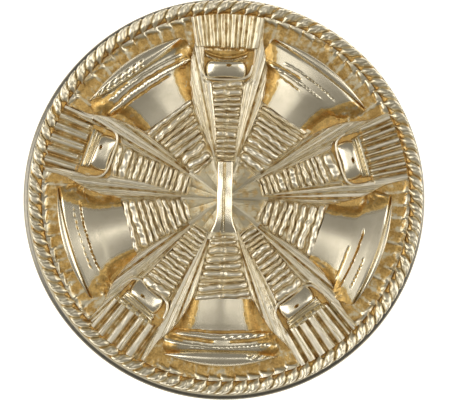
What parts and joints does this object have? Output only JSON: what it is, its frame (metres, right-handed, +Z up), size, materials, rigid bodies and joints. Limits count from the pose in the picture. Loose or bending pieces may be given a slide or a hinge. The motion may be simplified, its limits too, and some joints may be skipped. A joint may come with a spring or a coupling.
{
  "type": "insignia pin",
  "caption": "Round gilt collar disc with crossed bugles in relief inside a rope border, worn through cloth on a post that a clutch holds.",
  "frame": {"origin": "centre of the clutch's flat base, which the pin stands on; the post and the disc's blank are centred over it", "axes": "+Z up, out of the struck face; +Y to the top of the design; +X to its right"},
  "size_m": [0.0254, 0.0254, 0.0099],
  "materials": {
    "gilt": "gold-plated, polished on the raised forms and matte in the recesses",
    "clutch": "plain satin brass"
  },
  "bodies": {
    "root": {"struck_disc": "gilt", "clutch": "clutch"}
  },
  "joints": []
}
